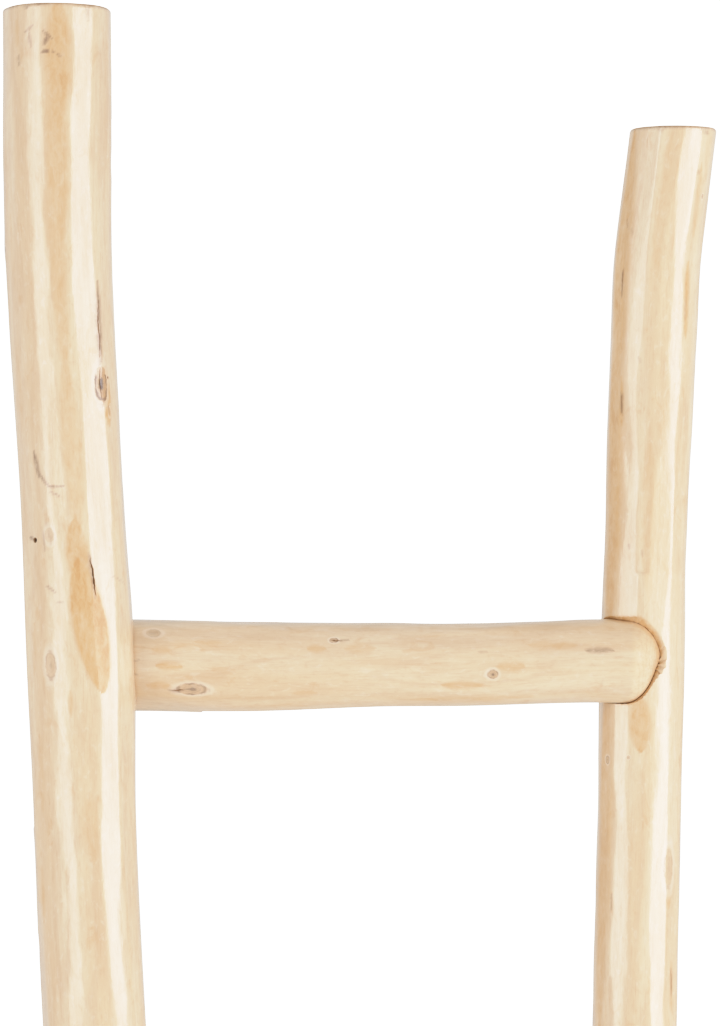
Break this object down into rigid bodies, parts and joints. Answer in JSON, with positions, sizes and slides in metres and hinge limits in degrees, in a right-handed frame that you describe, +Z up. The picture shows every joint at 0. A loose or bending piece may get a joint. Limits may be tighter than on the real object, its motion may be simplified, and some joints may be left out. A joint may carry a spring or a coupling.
{
  "type": "rustic blanket ladder",
  "caption": "Decorative leaning ladder of two peeled, gently bent branch stiles joined by round branch rungs, for hanging quilts, blankets and towels.",
  "frame": {"origin": "on the floor, midway between the two feet's outer sides", "axes": "+Z up the ladder, +X from the left stile to the right one as seen from the front, +Y towards the wall that the ladder leans on"},
  "size_m": [0.4447, 0.0946, 1.8285],
  "materials": {
    "peeled_wood": "pale peeled branch wood under a clear satin lacquer, with tan streaks, small brown knots and hand-planed facets",
    "plug_wood": "turned wooden plug, side grain, slightly darker than the branch, satin lacquer",
    "zinc_steel": "zinc-plated wood screw with a cross recess",
    "rubber": "matt dark brown rubber"
  },
  "bodies": {
    "root": {"left_stile": "peeled_wood", "right_stile": "peeled_wood", "rung_1": "peeled_wood", "rung_2": "peeled_wood", "rung_3": "peeled_wood", "rung_4": "peeled_wood", "rung_5": "peeled_wood", "rung_1_left_plug": "plug_wood", "rung_1_right_plug": "plug_wood", "rung_2_left_plug": "plug_wood", "rung_2_right_plug": "plug_wood", "rung_3_left_plug": "plug_wood", "rung_3_right_plug": "plug_wood", "rung_4_left_plug": "plug_wood", "rung_4_right_plug": "plug_wood", "rung_5_left_plug": "plug_wood", "rung_5_right_plug": "plug_wood", "rung_1_left_screw": "zinc_steel", "rung_1_right_screw": "zinc_steel", "rung_2_left_screw": "zinc_steel", "rung_2_right_screw": "zinc_steel", "rung_3_left_screw": "zinc_steel", "rung_3_right_screw": "zinc_steel", "rung_4_left_screw": "zinc_steel", "rung_4_right_screw": "zinc_steel", "rung_5_left_screw": "zinc_steel", "rung_5_right_screw": "zinc_steel", "left_foot_screw": "zinc_steel", "right_foot_screw": "zinc_steel", "left_foot_pad": "rubber", "right_foot_pad": "rubber", "left_wall_bumper": "rubber", "right_wall_bumper": "rubber"}
  },
  "joints": []
}
